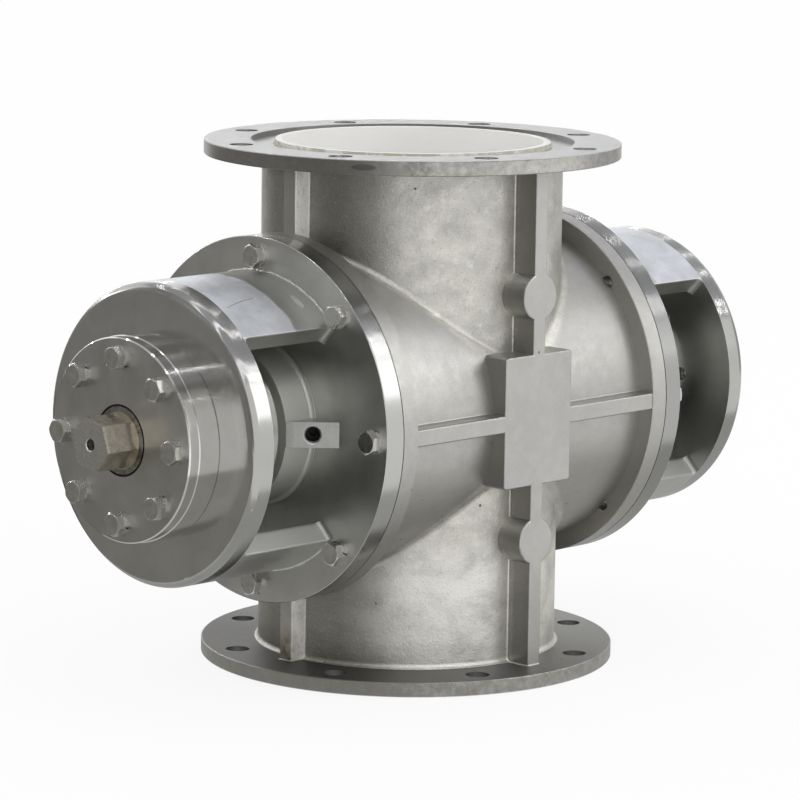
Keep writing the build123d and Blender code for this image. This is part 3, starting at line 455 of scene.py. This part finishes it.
def cover_casting():
    """End cover: turned plate, polished disc, the upper arms painted bright and bluish as lit from above,
    and a duller zone at the foot of the arms.
    """
    p = Paint("machined_casting")
    x, y, z = p.split(p.coords)
    outward = p.math("ABSOLUTE", x)
    height = p.math("ABSOLUTE", p.math("SUBTRACT", z, AXIS_Z))
    radius = p.around_rotor()
    across = p.steepness(0)
    rings = p.noise(COVER_RING_SIZE, 2.0, 0.6, vector=p.join(radius, x, 0.0))
    smears = p.noise(0.030, 4.0, 0.6, 0.3)
    marks = p.noise(0.004, 4.0, 0.7, 0.4)
    stains = p.noise(0.008, 4.0, 0.65, 0.5)
    # Zones: the upper arm's part painted bright as lit from above, the lower arm's flat inside, the stuffing
    # box, the bosses of the ports, the plate's rim, the disc, and its hidden back darkened with painted
    # shade
    outside = p.ramp(radius, YOKE_RADIUS - 0.0007, YOKE_RADIUS - 0.0003)
    upper = p.ramp(z, AXIS_Z, AXIS_Z + 0.01)
    wobble = p.math("MULTIPLY_ADD", p.noise(0.02, 3.0, 0.6), 0.008, outward)
    arm = p.product(p.ramp(wobble, ARM_FOOT_END, ARM_FOOT_END + 0.0025), outside, upper)
    flat = p.product(
        p.ramp(across, 0.2, 0.1),
        p.band(radius, WINDOW_RADIUS, YOKE_RADIUS - 0.0007, 0.0004),
        p.band(outward, COVER_FACE + 0.001, DISC_BACK - 0.0005),
        p.inverse(upper),
    )
    box = p.product(
        p.ramp(radius, BOX_RADIUS + ROOT_FILLET + 0.0002, BOX_RADIUS + ROOT_FILLET - 0.0003),
        p.ramp(outward, COVER_FACE, COVER_FACE + 0.0004),
        p.ramp(outward, DISC_BACK - 0.002, DISC_BACK - 0.004),
    )
    by_port = p.ramp(y, BOSS_SIDE, BOSS_SIDE - 0.005)
    boss = p.product(
        p.band(across, 0.66, 0.75, 0.02), by_port, p.ramp(radius, BOSS_REACH, BOSS_REACH - 0.002)
    )
    plate = p.product(
        p.ramp(outward, COVER_FACE + 0.0002, COVER_FACE - 0.0002),
        p.ramp(radius, COVER_RIM - 0.001, COVER_RIM),
    )
    face = p.ramp(across, 0.8, 0.95)
    disc = p.ramp(outward, DISC_BACK - 0.0005, DISC_BACK + 0.0005)
    # Painted shade: the disc's back, facing into the window, is made dark
    hidden = p.product(face, p.band(outward, DISC_BACK, DISC_BACK + 0.0001, 0.0003))
    dull = p.mix(p.ramp(smears, 0.35, 0.65), (0.54, 0.54, 0.518), (0.62, 0.62, 0.595))
    # Painted reflection: the upper arms' bright bluish colour stands in for the light above them
    bright = p.mix(p.ramp(smears, 0.38, 0.62), (0.58, 0.60, 0.635), (0.74, 0.76, 0.80))
    color = p.mix(arm, dull, bright)
    color = p.mix(p.product(box, p.ramp(stains, 0.30, 0.60)), color, (0.60, 0.60, 0.565))
    color = p.mix(hidden, color, (0.22, 0.22, 0.205))
    color = p.mix(p.ramp(marks, 0.62, 0.75, 0.0, 0.3), color, (0.20, 0.20, 0.20))
    color = p.mix(p.product(flat, 0.8), color, (0.64, 0.638, 0.61))
    color = p.mix(p.product(boss, p.ramp(marks, 0.3, 0.6, 0.5, 0.65)), color, (0.26, 0.26, 0.25))
    plate_color = p.mix(p.ramp(x, -0.05, 0.05), (0.50, 0.50, 0.485), (0.38, 0.38, 0.368))
    color = p.mix(plate, color, plate_color)
    disc_color = p.mix(p.ramp(smears, 0.35, 0.65), (0.54, 0.537, 0.52), (0.60, 0.598, 0.58))
    disc_color = p.mix(face, p.mix(0.5, disc_color, (0.34, 0.338, 0.325)), disc_color)
    color = p.mix(p.product(disc, p.inverse(hidden)), color, disc_color)
    rough = p.blend(arm, 0.36, 0.40)
    rough = p.blend(plate, rough, 0.19)
    rough = p.blend(disc, rough, 0.17)
    rough = p.blend(p.product(disc, face), rough, 0.13)
    rough = p.blend(hidden, rough, 0.55)
    rough = p.blend(box, rough, 0.45)
    # Corners of the windows, painted bright as edge highlights
    corner = p.product(
        p.ramp(p.math("ABSOLUTE", p.math("SUBTRACT", p.math("ABSOLUTE", y), height)), 0.0013, 0.0006),
        p.ramp(radius, YOKE_RADIUS - 0.0019, YOKE_RADIUS - 0.0012),
        p.band(outward, COVER_FACE + 0.002, DISC_BACK, 0.0005),
    )
    color = p.mix(p.product(corner, 0.85), color, EDGE_HIGHLIGHT_STEEL)
    glint, scratch = (p.product(outside, share) for share in arm_marks(p, x, y, z))
    # Painted highlight where a lamp's reflection falls, on a smoother patch
    color = p.mix(p.product(glint, 0.8), color, (0.84, 0.845, 0.86))
    rough = p.blend(glint, rough, 0.15)
    color = p.mix(p.product(scratch, 0.7), color, (0.12, 0.12, 0.13))
    dark_wall, chamfer = port_shares(p, outward, height, by_port)
    color = p.mix(p.product(chamfer, 0.8), color, (0.90, 0.90, 0.88))
    color = p.mix(p.product(dark_wall, 0.95), color, (0.025, 0.023, 0.02))
    rough = p.blend(dark_wall, rough, 0.6)
    rough = p.math("ADD", rough, p.ramp(smears, 0.3, 0.7, -0.02, 0.03))
    # The satin zones shine less than bare metal
    metallic = p.blend(flat, 1.0, 0.7)
    metallic = p.blend(p.product(arm, p.inverse(disc)), metallic, 0.6)
    metallic = p.blend(box, metallic, 0.65)
    normal = p.bump(rings, 0.000008)
    normal = p.bump(marks, MARK_DEPTH, normal)
    return p.finish(color, rough, metallic, normal)


def bolt_steel():
    """Stainless bolts with smooth, slightly stained heads and painted highlights on the chamfered corners.
    """
    p = Paint("bolt_steel")
    stains = p.noise(0.006, 4.0, 0.6, 0.3)
    dents = p.noise(0.0014, 3.0, 0.55)
    color = p.mix(p.ramp(stains, 0.35, 0.68), (0.50, 0.49, 0.465), (0.62, 0.612, 0.585))
    color = p.mix(p.ramp(dents, 0.66, 0.76, 0.0, 0.4), color, (0.18, 0.165, 0.145))
    # Painted highlight on the chamfers, which lie slanted to the axis
    color = p.mix(p.product(p.band(p.steepness(0), 0.35, 0.93, 0.03), 0.75), color, (0.86, 0.855, 0.84))
    rough = p.ramp(stains, 0.3, 0.7, 0.20, 0.30)
    return p.finish(color, rough, 1.0, p.bump(dents, 0.000012))


def shaft_steel():
    """Ground shaft with a warm, slightly oily hexagon and a dark shoulder."""
    p = Paint("shaft_steel")
    x = p.split(p.coords)[0]
    stains = p.noise(0.007, 4.0, 0.65, 0.8)
    fine = p.noise(0.0015, 3.0, 0.6)
    lines = p.noise(0.0005, 2.0, 0.6, vector=p.scaled(p.coords, (0.2, 1.0, 1.0)))
    hexagon = p.ramp(x, -HEXAGON_FOOT + 0.0003, -HEXAGON_FOOT - 0.0002)
    ground = p.mix(p.ramp(stains, 0.3, 0.7), (0.50, 0.495, 0.48), (0.62, 0.615, 0.60))
    oily = p.mix(p.ramp(stains, 0.3, 0.7), (0.46, 0.42, 0.345), (0.68, 0.64, 0.55))
    oily = p.mix(p.ramp(fine, 0.60, 0.72, 0.0, 0.6), oily, (0.22, 0.17, 0.11))
    color = p.mix(hexagon, ground, oily)
    front = p.ramp(x, -SHAFT_END + 0.0008, -SHAFT_END + 0.0004)
    color = p.mix(front, color, p.mix(p.ramp(stains, 0.3, 0.7), (0.50, 0.492, 0.46), (0.58, 0.57, 0.54)))
    worn = p.product(p.band(x, -SHAFT_END, -SHAFT_END + 0.0022, 0.0003), p.ramp(fine, 0.40, 0.52))
    color = p.mix(p.product(worn, 0.6), color, (0.84, 0.82, 0.76))
    shoulder = p.product(
        p.ramp(p.around_rotor(), SHOULDER_RADIUS - 0.0006, SHOULDER_RADIUS),
        p.band(x, -HEXAGON_FOOT - 0.0004, -HEXAGON_FOOT + 0.0008),
    )
    shoulder_tone = p.mix(p.ramp(stains, 0.35, 0.65), (0.10, 0.095, 0.08), (0.34, 0.33, 0.30))
    color = p.mix(shoulder, color, shoulder_tone)
    rough = p.math("ADD", p.blend(hexagon, 0.22, 0.28), p.ramp(stains, 0.3, 0.7, -0.04, 0.08))
    rough = p.blend(shoulder, rough, 0.5)
    return p.finish(color, rough, 1.0, p.bump(lines, 0.000015))


def ceramic():
    """Fired white alumina, satin, with a cream smear of glue round its outside."""
    p = Paint("ceramic")
    z = p.split(p.coords)[2]
    clouds = p.noise(0.045, 3.0, 0.5)
    grain = p.noise(0.0012, 3.0, 0.5)
    smear = p.noise(0.012, 4.0, 0.6, 0.6)
    color = p.mix(p.ramp(clouds, 0.3, 0.7), (0.93, 0.92, 0.895), (0.97, 0.965, 0.95))
    outside = p.product(
        p.ramp(p.around_pipe(), LINING_RADIUS - 0.0006, LINING_RADIUS - 0.0002),
        p.ramp(smear, 0.36, 0.56),
    )
    color = p.mix(p.product(outside, 0.9), color, (0.60, 0.57, 0.45))
    # The ground end in the inlet's mouth is greyer
    lip = 2 * AXIS_Z - RECESS_DEPTH
    mouth = p.product(p.ramp(p.steepness(2), 0.8, 0.95), p.ramp(z, lip - 0.001, lip))
    color = p.mix(p.product(mouth, 0.9), color, (0.66, 0.655, 0.63))
    rough = p.ramp(grain, 0.3, 0.7, 0.30, 0.42)
    return p.finish(color, rough, 0.0, p.bump(grain, 0.00004))


def plain(name, dull, bright, size, roughness, metallic=0.0, depth=0.00005):
    """A simple mottled material for hidden pieces."""
    p = Paint(name)
    mottle = p.noise(size, 4.0, 0.6, 0.3)
    fine = p.noise(size / 8, 3.0, 0.6)
    color = p.mix(p.ramp(mottle, 0.35, 0.65), dull, bright)
    rough = p.ramp(fine, 0.3, 0.7, roughness - 0.06, roughness + 0.06)
    return p.finish(color, rough, metallic, p.bump(fine, depth))


CORD_RADIUS = 0.04
STRANDS_PER_METRE = 700.0


def braided():
    """Packing cord: a braid seen as crossed strands."""
    p = Paint("packing_cord")
    x, y, z = p.split(p.coords)
    angle = p.math("ARCTAN2", p.math("SUBTRACT", z, AXIS_Z), y)
    around = p.product(angle, CORD_RADIUS)
    strands = p.tree.nodes.new("ShaderNodeTexChecker")
    strands.inputs["Scale"].default_value = 1.0
    turned = p.join(
        p.product(p.math("ADD", around, x), STRANDS_PER_METRE),
        p.product(p.math("SUBTRACT", around, x), STRANDS_PER_METRE),
        0.5,
    )
    p.put(strands.inputs["Vector"], turned)
    color = p.mix(strands.outputs["Fac"], (0.60, 0.56, 0.44), (0.78, 0.74, 0.62))
    fuzz = p.noise(0.0006, 3.0, 0.6)
    return p.finish(color, p.ramp(fuzz, 0.3, 0.7, 0.7, 0.9), 0.0, p.bump(fuzz, 0.0001))


slot_materials = {
    "cast_steel": cast_steel(),
    "machined_casting": cover_casting(),
    "machined_steel": turned_steel("machined_steel", (0.49, 0.483, 0.465), (0.57, 0.563, 0.542), 0.09, 0.32),
    "gland_steel": turned_steel("gland_steel", (0.66, 0.66, 0.64), (0.78, 0.78, 0.76), 0.24, 0.24),
    "shaft_steel": shaft_steel(),
    "rotor_steel": turned_steel("rotor_steel", (0.46, 0.46, 0.45), (0.56, 0.56, 0.55), 0.34, 0.34),
    "wear_steel": plain("wear_steel", (0.34, 0.34, 0.35), (0.44, 0.44, 0.45), 0.012, 0.3, 1.0),
    "bolt_steel": bolt_steel(),
    "washer_steel": plain("washer_steel", (0.58, 0.57, 0.55), (0.74, 0.73, 0.71), 0.004, 0.24, 1.0, 0.00001),
    "spring_steel": plain("spring_steel", (0.08, 0.08, 0.085), (0.13, 0.13, 0.135), 0.004, 0.42, 1.0),
    "bearing_steel": plain(
        "bearing_steel", (0.68, 0.68, 0.69), (0.74, 0.74, 0.75), 0.010, 0.14, 1.0, 0.000005
    ),
    "cage_brass": plain("cage_brass", (0.66, 0.49, 0.22), (0.76, 0.58, 0.28), 0.006, 0.3, 1.0),
    "lantern_bronze": plain("lantern_bronze", (0.50, 0.33, 0.17), (0.60, 0.41, 0.23), 0.006, 0.34, 1.0),
    "ceramic": ceramic(),
    "gasket_sheet": plain("gasket_sheet", (0.03, 0.03, 0.028), (0.06, 0.058, 0.055), 0.003, 0.8),
    "packing_cord": braided(),
    "seal_rubber": plain("seal_rubber", (0.012, 0.012, 0.012), (0.022, 0.022, 0.022), 0.004, 0.5),
}

for part in frame["record"]["subparts"]:
    node = frame["nodes"][part["node"]]
    for place in node.material_slots:
        place.material = slot_materials[part["material_slot"]]


# Added pieces
def around_x(outward, radius, degrees):
    """A point at a distance along the rotor's axis, a radius, and an angle from +Y towards +Z."""
    angle = math.radians(degrees)
    return Vector((outward, radius * math.cos(angle), AXIS_Z + radius * math.sin(angle)))


def sweep(name, rings, closed, body, slot, material=None):
    """A closed solid through a row of sections with as many points each."""
    count = len(rings[0])
    solid = bmesh.new()
    loops = [[solid.verts.new(point) for point in ring] for ring in rings]
    for index in range(len(loops) if closed else len(loops) - 1):
        here, there = loops[index], loops[(index + 1) % len(loops)]
        for corner in range(count):
            after = (corner + 1) % count
            solid.faces.new((here[corner], here[after], there[after], there[corner]))
    if not closed:
        solid.faces.new(loops[0])
        solid.faces.new(reversed(loops[-1]))
    bmesh.ops.recalc_face_normals(solid, faces=solid.faces)
    for face in solid.faces:
        face.smooth = len(face.verts) == 4
    mesh = bpy.data.meshes.new(name)
    solid.to_mesh(mesh)
    solid.free()
    piece = bpy.data.objects.new(name, mesh)
    bpy.context.collection.objects.link(piece)
    mesh.materials.append(material or slot_materials[slot])
    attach(piece, body)


LUMP_GAIN = 1.6


def lump(place, size, seed):
    """Smooth unevenness between -1 and 1, the same each run."""
    return max(-1.0, min(1.0, LUMP_GAIN * noise.noise(Vector(place) / size + Vector((seed, 0, 0)))))


BEAD_SIDES = 7
GLUE_STEPS = 260
GLUE_SIZE = 0.0010
GLUE_GAP = 0.0004
GLUE_LIFT = 0.0003
GLUE_LUMP_SIZE = 0.006
GLUE_LUMP_SHARE = 0.45


def make_glue(name, floor_height, up, seed):
    """Lumpy line of glue in the recess, around the lining's end."""
    rings = []
    for step in range(GLUE_STEPS):
        turn = 2 * math.pi * step / GLUE_STEPS
        outward = Vector((math.cos(turn), math.sin(turn), 0))
        size = GLUE_SIZE * (1 + GLUE_LUMP_SHARE * lump(outward * LINING_RADIUS, GLUE_LUMP_SIZE, seed))
        ring = []
        for side in range(BEAD_SIDES):
            angle = 2 * math.pi * side / BEAD_SIDES
            place = outward * (LINING_RADIUS + GLUE_GAP + size * math.cos(angle))
            ring.append(place + Vector((0, 0, floor_height + up * GLUE_LIFT + size * math.sin(angle))))
        rings.append(ring)
    sweep(name, rings, True, "body", "ceramic", glue_material)


ARM_HALF_SPAN = 44
RIDGE_STEPS = 110
RIDGE_SIZE = 0.0012
RIDGE_LIFT = (0.0001, 0.0002)
RIDGE_ANGLES = range(0, 360, 45)
RIDGE_END_SHARE = 0.25
RIDGE_END_SLOPE = 6
# Share and size of the large lumps and of the small ones
RIDGE_LUMPS = ((0.55, 0.0035), (0.3, 0.0012))


def make_ridge(name, side, middle, seed):
    """Rough cast ridge along the foot of one yoke arm."""
    rings = []
    for step in range(RIDGE_STEPS + 1):
        degrees = middle + ARM_HALF_SPAN * (2 * step / RIDGE_STEPS - 1)
        centre = around_x(side * COVER_FACE, YOKE_RADIUS, degrees)
        from_end = min(step, RIDGE_STEPS - step) / RIDGE_STEPS
        ends = min(1.0, RIDGE_END_SLOPE * from_end + RIDGE_END_SHARE)
        uneven = 1 + sum(share * lump(centre, size, seed) for share, size in RIDGE_LUMPS)
        size = RIDGE_SIZE * ends * uneven
        ring = []
        for angle in map(math.radians, RIDGE_ANGLES):
            outward = COVER_FACE + RIDGE_LIFT[0] + size * math.sin(angle)
            radius = YOKE_RADIUS + RIDGE_LIFT[1] + size * math.cos(angle)
            ring.append(around_x(side * outward, radius, degrees))
        rings.append(ring)
    sweep(name, rings, False, "body", "machined_casting", ridge_material)


ROOT_STEPS = 96
ROOT_SINK = 0.0003
ROOT_ANGLES = range(180, 271, 15)


def make_root_fillet(name, side):
    """Concave casting fillet where the stuffing box rises from the cover's plate."""
    profile = [(COVER_FACE - ROOT_SINK, BOX_RADIUS - ROOT_SINK)]
    for angle in map(math.radians, ROOT_ANGLES):
        outward = COVER_FACE + ROOT_FILLET * (1 + math.cos(angle))
        profile.append((outward, BOX_RADIUS + ROOT_FILLET * (1 + math.sin(angle))))
    rings = [
        [around_x(side * outward, radius, 360 * step / ROOT_STEPS) for outward, radius in profile]
        for step in range(ROOT_STEPS)
    ]
    sweep(name, rings, True, "body", "machined_casting")


# Radius of the wall, height of the ridge, pitch and number of turns
PORT_THREAD = (PORT_RADIUS, 0.0007, 0.001337, 6)
SHAFT_THREAD = (0.00425, 0.0006, 0.0015, 10)
PORT_CHAMFER = 0.0016
SHAFT_CHAMFER = 0.0020
THREAD_STEPS = 28
THREAD_SINK = 0.0001
THREAD_HALF_WIDTH = 0.42
THREAD_END_SHARE = 0.05
THREAD_END_SLOPE = 8


def make_thread(name, mouth, inward, thread, body, slot):
    """Helical ridge of a tapped hole, rising inwards from the hole's wall."""
    radius, depth, pitch, turns = thread
    inward = Vector(inward).normalized()
    across = inward.orthogonal().normalized()
    beside = inward.cross(across)
    rings = []
    total = turns * THREAD_STEPS
    for step in range(total + 1):
        turn = 2 * math.pi * step / THREAD_STEPS
        away = across * math.cos(turn) + beside * math.sin(turn)
        start = Vector(mouth) + inward * (pitch * step / THREAD_STEPS)
        from_end = min(step, total - step) / total
        height = depth * min(1.0, THREAD_END_SLOPE * from_end + THREAD_END_SHARE)
        foot = start + away * (radius + THREAD_SINK)
        to_foot = inward * (THREAD_HALF_WIDTH * pitch)
        rings.append([foot - to_foot, start + away * (radius - height), foot + to_foot])
    sweep(name, rings, False, body, slot, thread_material)


glue_material = plain("glue", (0.36, 0.34, 0.27), (0.62, 0.59, 0.48), 0.006, 0.5)
ridge_material = plain("cast_ridge", (0.62, 0.62, 0.60), (0.82, 0.82, 0.80), 0.003, 0.3, 1.0, 0.0001)
thread_material = plain("cut_thread", (0.20, 0.19, 0.175), (0.34, 0.33, 0.31), 0.003, 0.3, 1.0)

make_glue("inlet_glue", 2 * AXIS_Z - RECESS_DEPTH, 1, 3.0)
make_glue("outlet_glue", RECESS_DEPTH, -1, 7.0)
for end, side in (("drive", -1), ("tail", 1)):
    make_ridge(end + "_upper_ridge", side, 90, 11.0 + side)
    make_ridge(end + "_lower_ridge", side, 270, 17.0 + side)
    make_root_fillet(end + "_root_fillet", side)
    port = (side * (PORT_MOUTH[0] - PORT_CHAMFER), -PORT_MOUTH[1] + PORT_CHAMFER, AXIS_Z)
    make_thread(end + "_port_thread", port, (-side, 1, 0), PORT_THREAD, "body", "machined_casting")
tapped_end = (-SHAFT_END + SHAFT_CHAMFER, 0, AXIS_Z)
make_thread("shaft_thread", tapped_end, (1, 0, 0), SHAFT_THREAD, "rotor", "shaft_steel")


# Stage: pale floor, white surroundings, one soft lamp, and cards that only reflections show
def white_for_viewers(tree):
    """1 for rays from the camera, glossy rays and transmitted rays, and 0 for the rest."""
    path = tree.nodes.new("ShaderNodeLightPath")
    seen = path.outputs["Is Camera Ray"]
    for kind in ("Is Glossy Ray", "Is Transmission Ray"):
        node = tree.nodes.new("ShaderNodeMath")
        node.operation = "MAXIMUM"
        tree.links.new(seen, node.inputs[0])
        tree.links.new(path.outputs[kind], node.inputs[1])
        seen = node.outputs[0]
    return seen


AMBIENT = 1.0


def make_world():
    """White surroundings: as strong as AMBIENT for what they light, and 1 for viewers."""
    world = bpy.data.worlds.new("studio")
    world.use_nodes = True
    tree = world.node_tree
    tree.nodes.clear()
    output = tree.nodes.new("ShaderNodeOutputWorld")
    shades = []
    for strength in (AMBIENT, 1.0):
        shade = tree.nodes.new("ShaderNodeBackground")
        shade.inputs["Color"].default_value = (1.0, 1.0, 1.0, 1.0)
        shade.inputs["Strength"].default_value = strength
        shades.append(shade)
    mix = tree.nodes.new("ShaderNodeMixShader")
    tree.links.new(white_for_viewers(tree), mix.inputs[0])
    tree.links.new(shades[0].outputs[0], mix.inputs[1])
    tree.links.new(shades[1].outputs[0], mix.inputs[2])
    tree.links.new(mix.outputs[0], output.inputs[0])
    bpy.context.scene.world = world


def flat_mesh(name, corners):
    mesh = bpy.data.meshes.new(name)
    mesh.from_pydata(corners, [], [tuple(range(len(corners)))])
    sheet = bpy.data.objects.new(name, mesh)
    bpy.context.collection.objects.link(sheet)
    return sheet


def shade_material(name):
    material = bpy.data.materials.new(name)
    material.use_nodes = True
    tree = material.node_tree
    tree.nodes.clear()
    return material, tree, tree.nodes.new("ShaderNodeOutputMaterial")


FLOOR_REACH = 12.0
FLOOR_DROP = 0.0005
FLOOR_GLOW = 0.87
PAPER = (0.92, 0.92, 0.92, 1.0)


def make_floor():
    """Pale paper. Part of what viewers see of it is plain white, and the rest keeps the shadow."""
    r = FLOOR_REACH
    floor = flat_mesh("floor", [(-r, -r, 0), (r, -r, 0), (r, r, 0), (-r, r, 0)])
    floor.location.z = -FLOOR_DROP
    material, tree, output = shade_material("floor_paper")
    paper = tree.nodes.new("ShaderNodeBsdfDiffuse")
    paper.inputs["Color"].default_value = PAPER
    glow = tree.nodes.new("ShaderNodeEmission")
    share = tree.nodes.new("ShaderNodeMath")
    share.operation = "MULTIPLY"
    tree.links.new(white_for_viewers(tree), share.inputs[0])
    share.inputs[1].default_value = FLOOR_GLOW
    mix = tree.nodes.new("ShaderNodeMixShader")
    tree.links.new(share.outputs[0], mix.inputs[0])
    tree.links.new(paper.outputs[0], mix.inputs[1])
    tree.links.new(glow.outputs[0], mix.inputs[2])
    tree.links.new(mix.outputs[0], output.inputs[0])
    floor.data.materials.append(material)


def make_card(name, corners, shade):
    """A card of one shade that only the reflections show, as a studio uses to shape metal."""
    card = flat_mesh(name, corners)
    material, tree, output = shade_material(name)
    glow = tree.nodes.new("ShaderNodeEmission")
    glow.inputs["Color"].default_value = (*shade, 1.0)
    tree.links.new(glow.outputs[0], output.inputs[0])
    card.data.materials.append(material)
    card.visible_camera = False
    card.visible_shadow = False
    card.visible_diffuse = False
    card.visible_transmission = False


DARK = (0.245, 0.24, 0.228)
DARKER = (0.25, 0.245, 0.23)
DARKEST = (0.09, 0.088, 0.08)
MIDDLE = (0.50, 0.50, 0.485)
OVERHEAD = (0.45, 0.455, 0.475)
EAST = (0.50, 0.495, 0.485)
STRIP = (32.0, 32.0, 32.6)

# Upright cards, from one floor point to another and up to a height
WALLS = (
    ("front_left_card", (-1.50, -1.10), (-1.75, -0.55), 1.7, DARK),
    ("left_card", (-1.75, -0.55), (-1.0, 1.35), 1.7, DARK),
    ("back_left_card", (-1.0, 1.35), (0.25, 1.75), 0.55, DARKER),
    ("east_card", (1.95, -1.05), (2.05, 0.75), 0.9, EAST),
)

# Level cards, at a height
SHEETS = (
    ("left_mat", 0.001, ((-1.75, -0.55), (-0.75, -0.45), (-0.2, 0.3), (-1.0, 1.35)), DARKER),
    ("back_mat", 0.0012, ((-0.2, 0.25), (0.9, 0.25), (1.1, 1.9), (-1.0, 1.35)), DARKEST),
    ("mat", 0.0006, ((-0.6, -0.30), (0.75, -0.30), (0.75, 0.4), (-0.6, 0.4)), MIDDLE),
    ("overhead", 3.0, ((-3.0, -3.5), (5.5, -3.5), (5.5, 3.5), (-3.0, 3.5)), OVERHEAD),
)


def make_cards():
    for name, first, last, top, shade in WALLS:
        make_card(name, [(*first, 0.0), (*last, 0.0), (*last, top), (*first, top)], shade)
    for name, height, outline, shade in SHEETS:
        make_card(name, [(*corner, height) for corner in outline], shade)


KEY_PLACE = Vector((1.5, -2.2, 1.4))
KEY_SIZE = 1.4
KEY_POWER = 9


def make_key():
    """The soft lamp, on the right and in front of the part."""
    data = bpy.data.lights.new("key", "AREA")
    data.shape = "RECTANGLE"
    data.size = KEY_SIZE
    data.size_y = KEY_SIZE
    data.energy = KEY_POWER
    lamp = bpy.data.objects.new("key", data)
    away = (KEY_PLACE - Vector((0, 0, AXIS_Z))).normalized()
    lamp.matrix_world = Matrix.Translation(KEY_PLACE) @ away.to_track_quat("Z", "Y").to_matrix().to_4x4()
    bpy.context.collection.objects.link(lamp)


# Bright strips along the rotor's axis. Each angle is where the photograph shows a streak on the rims
STRIP_ANGLES = (17.2, 49.2, 76.8, 98.7, 128.2, 135.0)
STRIP_DISTANCE = 2.2
STRIP_START = -3.5
STRIP_END = 3.5
STRIP_HALF_DEGREES = 0.13


def make_strips():
    for index, degrees in enumerate(STRIP_ANGLES):
        low, high = degrees - STRIP_HALF_DEGREES, degrees + STRIP_HALF_DEGREES
        corners = [
            around_x(STRIP_START, STRIP_DISTANCE, low), around_x(STRIP_END, STRIP_DISTANCE, low),
            around_x(STRIP_END, STRIP_DISTANCE, high), around_x(STRIP_START, STRIP_DISTANCE, high),
        ]
        make_card(f"strip_{index}", corners, STRIP)


make_world()
make_floor()
make_cards()
make_key()
make_strips()
bpy.context.scene.view_settings.view_transform = "Standard"
